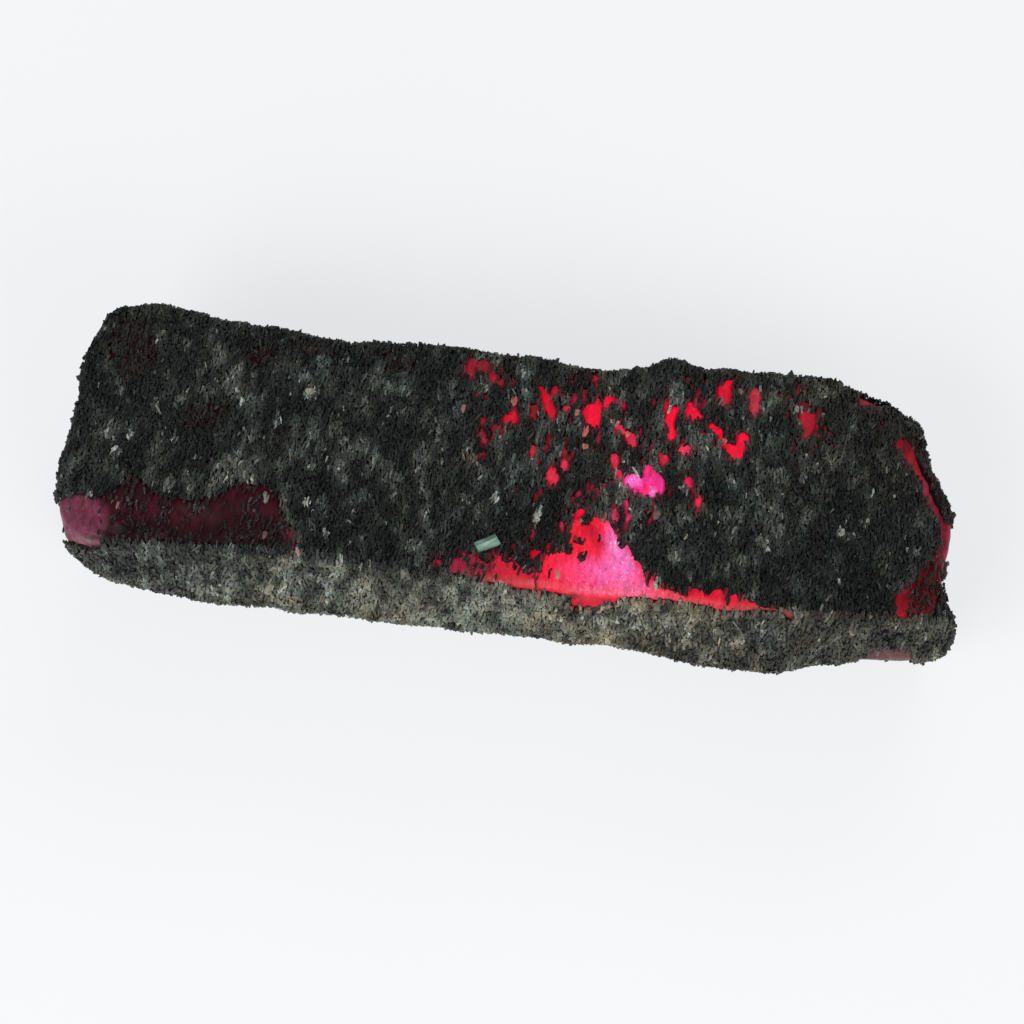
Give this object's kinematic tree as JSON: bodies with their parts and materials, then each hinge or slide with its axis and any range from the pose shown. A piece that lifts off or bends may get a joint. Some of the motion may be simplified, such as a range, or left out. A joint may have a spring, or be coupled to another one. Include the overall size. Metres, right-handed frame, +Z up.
{
  "type": "raw ruby crystal",
  "caption": "Long raw ruby crystal lying on its side, in a dark granular mica crust that is broken by red windows.",
  "frame": {"origin": "on the resting surface, under the middle of the object's outline", "axes": "+X along the crystal towards its broken end, +Y towards the back, +Z up; -Y is the front face"},
  "size_m": [0.076, 0.026, 0.0157],
  "materials": {
    "ruby": "natural crystal face, red, cloudy, with a vitreous lustre",
    "mica": "rough crust of dark mica flakes and grains, with small pale glints",
    "green_mineral": "pale green prism, slightly glossy"
  },
  "bodies": {
    "root": {"ruby_crystal": "ruby", "mica_crust": "mica", "green_grain": "green_mineral"}
  },
  "joints": []
}
